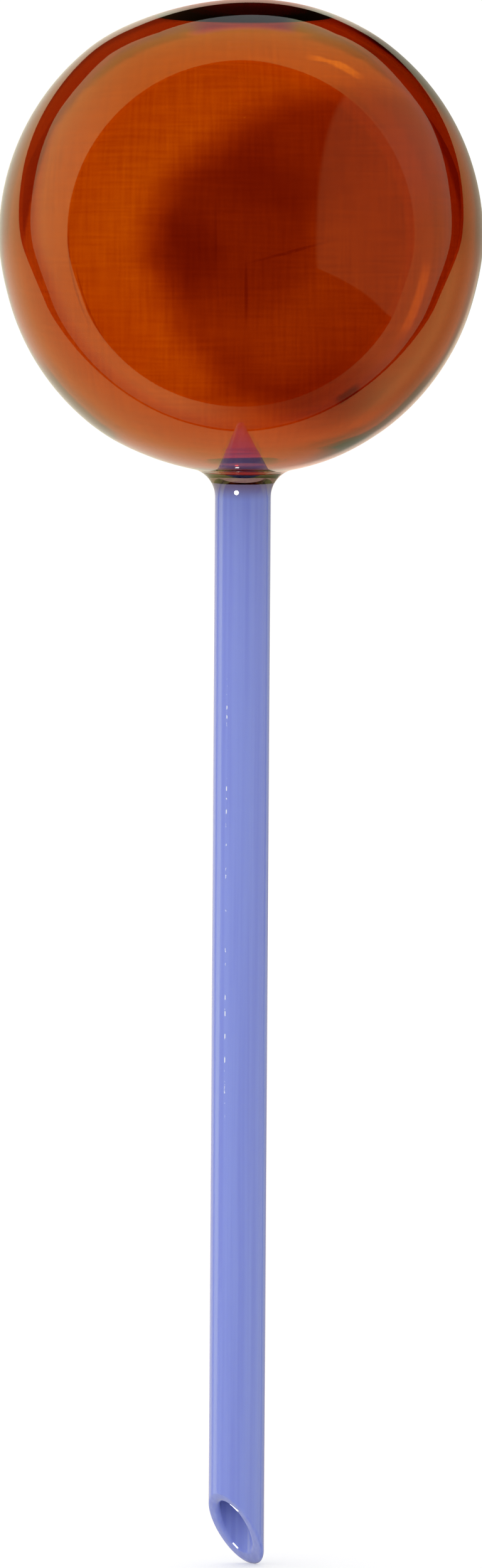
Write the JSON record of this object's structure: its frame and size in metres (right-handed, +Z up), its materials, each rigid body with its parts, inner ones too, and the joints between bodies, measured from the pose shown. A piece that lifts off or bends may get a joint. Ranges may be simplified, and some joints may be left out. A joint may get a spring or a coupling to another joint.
{
  "type": "watering globe",
  "caption": "Round amber glass reservoir on a long lilac glass tube with a slanted open tip, pushed into a pot's soil to let water out slowly.",
  "frame": {"origin": "on the stem's axis, at the height of the tip's lowest point", "axes": "+Z up the stem to the bulb, -Y the side that the slanted tip opens towards, +X to the right seen from -Y"},
  "size_m": [0.09, 0.09, 0.293],
  "materials": {
    "amber_glass": "clear amber blown glass, smooth and glossy, fire polished",
    "seal_glass": "clear grey-brown glass where the amber and the lilac melt together",
    "lilac_opal_glass": "opal lilac-blue drawn glass, glossy, lets light through but shows nothing behind it"
  },
  "bodies": {
    "root": {"bulb": "amber_glass", "seal_ring": "seal_glass", "stem": "lilac_opal_glass"}
  },
  "joints": []
}
